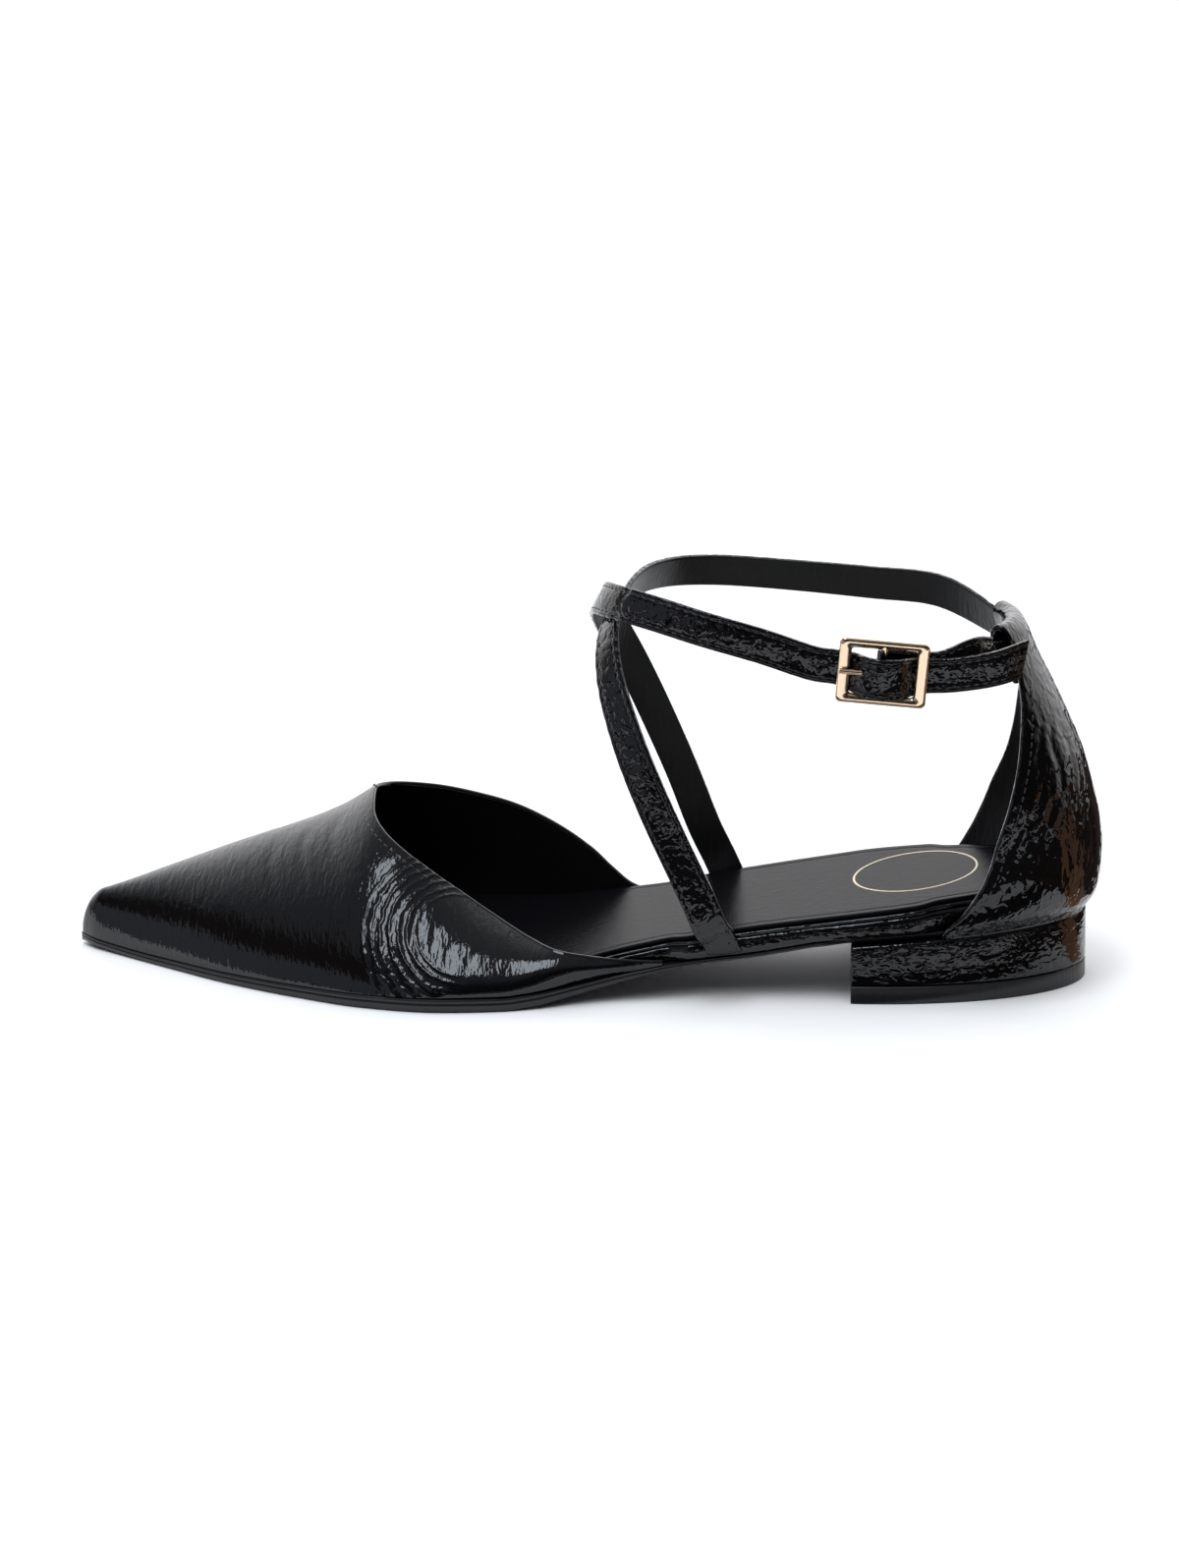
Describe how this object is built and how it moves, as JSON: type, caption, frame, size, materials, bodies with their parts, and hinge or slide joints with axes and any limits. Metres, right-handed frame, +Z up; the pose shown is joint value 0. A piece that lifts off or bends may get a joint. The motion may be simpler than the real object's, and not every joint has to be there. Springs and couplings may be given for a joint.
{
  "type": "pointed toe flat shoe",
  "caption": "Women's pointed toe flat with a low block heel, an open waist, a raised counter and crossing ankle straps that fasten with a buckle at the outer side, in black crinkled patent.",
  "frame": {"origin": "middle of the heel's rest face, on the floor the shoe stands on", "axes": "+X forward to the toe, +Y to the shoe's outer (left) side, +Z up"},
  "size_m": [0.2662, 0.0804, 0.1068],
  "materials": {
    "patent": "glossy crinkled patent",
    "lining": "soft satin",
    "outsole_rubber": "satin",
    "lift_rubber": "finely ribbed satin",
    "pale_gold": "polished pale gold plate"
  },
  "bodies": {
    "root": {"outsole": "outsole_rubber", "heel_lift": "lift_rubber", "heel_block": "patent", "insole_board": "patent", "sock_lining": "lining", "vamp": "patent", "counter": "patent", "long_strap": "patent", "loop_strap": "patent", "buckle_frame": "pale_gold", "buckle_prong": "pale_gold"}
  },
  "joints": []
}
